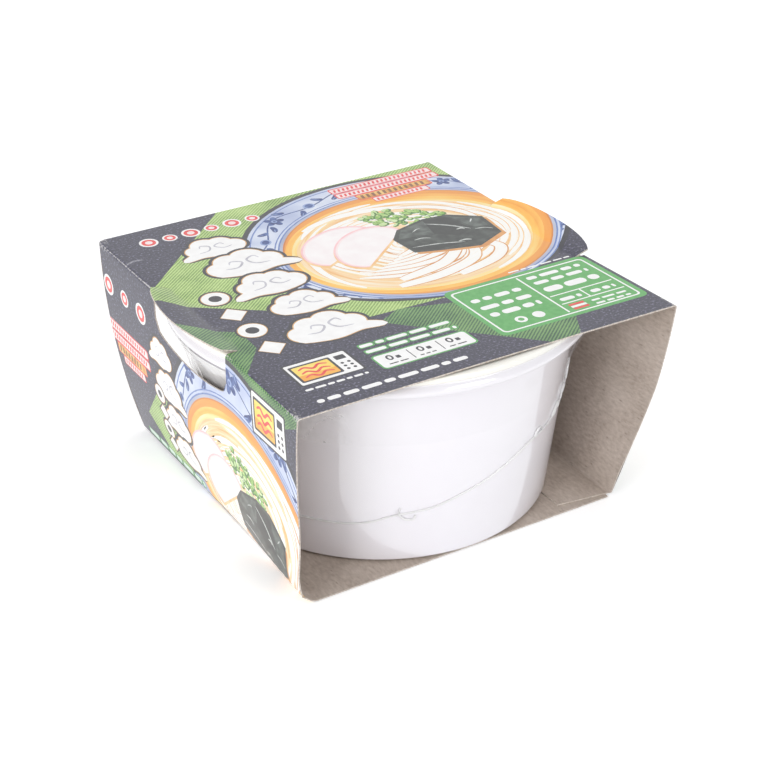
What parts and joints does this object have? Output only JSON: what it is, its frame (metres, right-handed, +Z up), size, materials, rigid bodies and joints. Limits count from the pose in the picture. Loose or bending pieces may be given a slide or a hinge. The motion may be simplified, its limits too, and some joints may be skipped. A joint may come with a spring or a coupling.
{
  "type": "instant noodle cup",
  "caption": "Round white plastic bowl of instant noodles, lidded and shrink-wrapped, held in a tapered open-ended printed paperboard sleeve.",
  "frame": {"origin": "under the middle of the whole part's box, at the level the sleeve's bottom panel rests on", "axes": "+Z up; the sleeve's tube runs along Y with its open ends at -Y and +Y; the printed side panels face -X and +X"},
  "size_m": [0.154, 0.1508, 0.0799],
  "materials": {
    "sleeve_board": "printed and varnished recycled paperboard",
    "bowl_plastic": "white semi-gloss moulded plastic",
    "lid_film": "cream sealed lid",
    "clear_film": "clear shrink film"
  },
  "bodies": {
    "root": {"sleeve": "sleeve_board", "bowl": "bowl_plastic", "lid": "lid_film", "shrink_film": "clear_film"}
  },
  "joints": []
}
